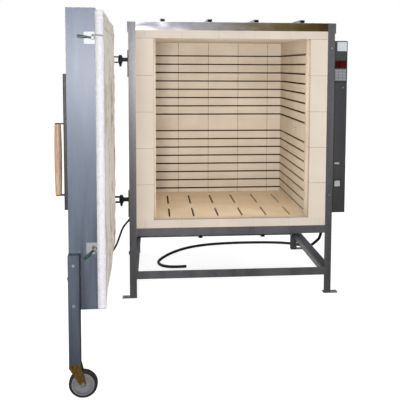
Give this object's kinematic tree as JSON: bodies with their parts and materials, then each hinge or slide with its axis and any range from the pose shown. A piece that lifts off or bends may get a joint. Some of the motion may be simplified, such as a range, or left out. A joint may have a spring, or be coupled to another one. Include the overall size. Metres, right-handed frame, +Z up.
{
  "type": "front-loading kiln",
  "caption": "Firebrick kiln in an angle-iron stand with a side-hung fibre-lined door on a caster leg, pull clamps and a side control box.",
  "frame": {"origin": "on the floor, at the centre of the four foot anchor holes", "axes": "+Z up, the chamber opens towards -Y, +X towards the control box"},
  "size_m": [1.7011, 2.6326, 1.7625],
  "materials": {
    "frame_paint": "grey-blue hammered enamel on steel",
    "door_paint": "grey-blue enamel on sheet steel",
    "stainless": "polished stainless steel",
    "zinc": "bright zinc plated steel",
    "yellow_zinc": "yellow zinc plated steel",
    "dark_steel": "black oxide steel",
    "galvanised": "galvanised sheet",
    "firebrick": "insulating firebrick",
    "fibre": "ceramic fibre blanket",
    "fibre_fired": "fired ceramic fibre blanket",
    "board": "mineral wool board",
    "element": "oxidised heating alloy",
    "alumina": "alumina sheath",
    "black_plastic": "black moulded plastic",
    "red_window": "red filter window",
    "light_plastic": "pale moulded plastic",
    "relay_plastic": "grey moulded plastic",
    "green_grip": "green dipped vinyl",
    "wood": "oiled hardwood",
    "cord_rubber": "black rubber sheath",
    "tyre_rubber": "black rubber tread",
    "wheel_grey": "grey wheel centre"
  },
  "bodies": {
    "kiln": {"corner_posts": "frame_paint", "foot_plates": "frame_paint", "bottom_rails": "frame_paint", "stretchers": "frame_paint", "floor_bars": "frame_paint", "floor_pan": "galvanised", "casing_panels": "frame_paint", "roof_cover": "galvanised", "front_band": "stainless", "corner_caps": "frame_paint", "top_rails": "frame_paint", "roof_ribs": "frame_paint", "left_wall": "firebrick", "right_wall": "firebrick", "back_wall": "firebrick", "hearth": "firebrick", "roof_bricks": "firebrick", "front_columns": "firebrick", "lintel": "firebrick", "sill": "firebrick", "insulation": "board", "wall_elements": "element", "hearth_elements": "element", "thermocouple": "alumina", "hinge_brackets": "dark_steel", "latch_keepers": "zinc", "control_box": "frame_paint", "control_box_cover": "frame_paint", "controller": "black_plastic", "display_window": "red_window", "switch_bezel": "black_plastic", "pilot_lamp": "light_plastic", "contactors": "relay_plastic", "terminal_block": "light_plastic", "cord_glands": "black_plastic", "mains_cord": "cord_rubber", "door_lead": "cord_rubber"},
    "door": {"door_case": "door_paint", "door_insulation": "board", "door_gasket": "fibre", "door_lining": "fibre_fired", "hinge_straps": "dark_steel", "hinge_pins": "dark_steel", "handle_bar": "dark_steel", "handle_grip": "wood", "handle_straps": "dark_steel", "door_leg": "frame_paint", "clamp_bases": "zinc", "door_lead_box": "dark_steel"},
    "upper_lever": {"clamp_lever_upper": "dark_steel", "clamp_grip_upper": "green_grip"},
    "upper_hook": {"clamp_hook_upper": "zinc"},
    "lower_lever": {"clamp_lever_lower": "dark_steel", "clamp_grip_lower": "green_grip"},
    "lower_hook": {"clamp_hook_lower": "zinc"},
    "caster": {"caster_fork": "yellow_zinc", "caster_axle": "zinc"},
    "wheel": {"caster_wheel": "wheel_grey", "caster_tyre": "tyre_rubber"},
    "rocker": {"power_rocker": "light_plastic"}
  },
  "joints": [
    {"name": "door_hinge", "type": "hinge", "parent": "kiln", "child": "door", "pos_m": [-0.699, -0.53205, 1.071], "axis": [0, 0, -1], "range_deg": [-89, 81], "deforming": ["door_lead"]},
    {"name": "upper_lever_pin", "type": "hinge", "parent": "door", "child": "upper_lever", "pos_m": [-0.75511, -1.84423, 1.592], "axis": [0.0175, -0.9998, 0], "range_deg": [-70, 82]},
    {"name": "upper_hook_pin", "type": "hinge", "parent": "upper_lever", "child": "upper_hook", "pos_m": [-0.7535, -1.8596, 1.60292], "axis": [0.0175, -0.9998, 0], "range_deg": [-60, 90]},
    {"name": "lower_lever_pin", "type": "hinge", "parent": "door", "child": "lower_lever", "pos_m": [-0.75511, -1.84423, 0.668], "axis": [0.0175, -0.9998, 0], "range_deg": [-122, 30]},
    {"name": "lower_hook_pin", "type": "hinge", "parent": "lower_lever", "child": "lower_hook", "pos_m": [-0.76262, -1.85976, 0.67578], "axis": [0.0175, -0.9998, 0], "range_deg": [-60, 100]},
    {"name": "caster_swivel", "type": "hinge", "parent": "door", "child": "caster", "pos_m": [-0.84532, -1.86721, 0.16], "axis": [0, 0, 1], "continuous": true},
    {"name": "caster_axle_spin", "type": "hinge", "parent": "caster", "child": "wheel", "pos_m": [-0.81132, -1.86721, 0.0635], "axis": [0, 1, 0], "continuous": true},
    {"name": "power_switch", "type": "hinge", "parent": "kiln", "child": "rocker", "pos_m": [0.696, -0.50355, 0.712], "axis": [1, 0, 0], "range_deg": [-10, 10]}
  ]
}
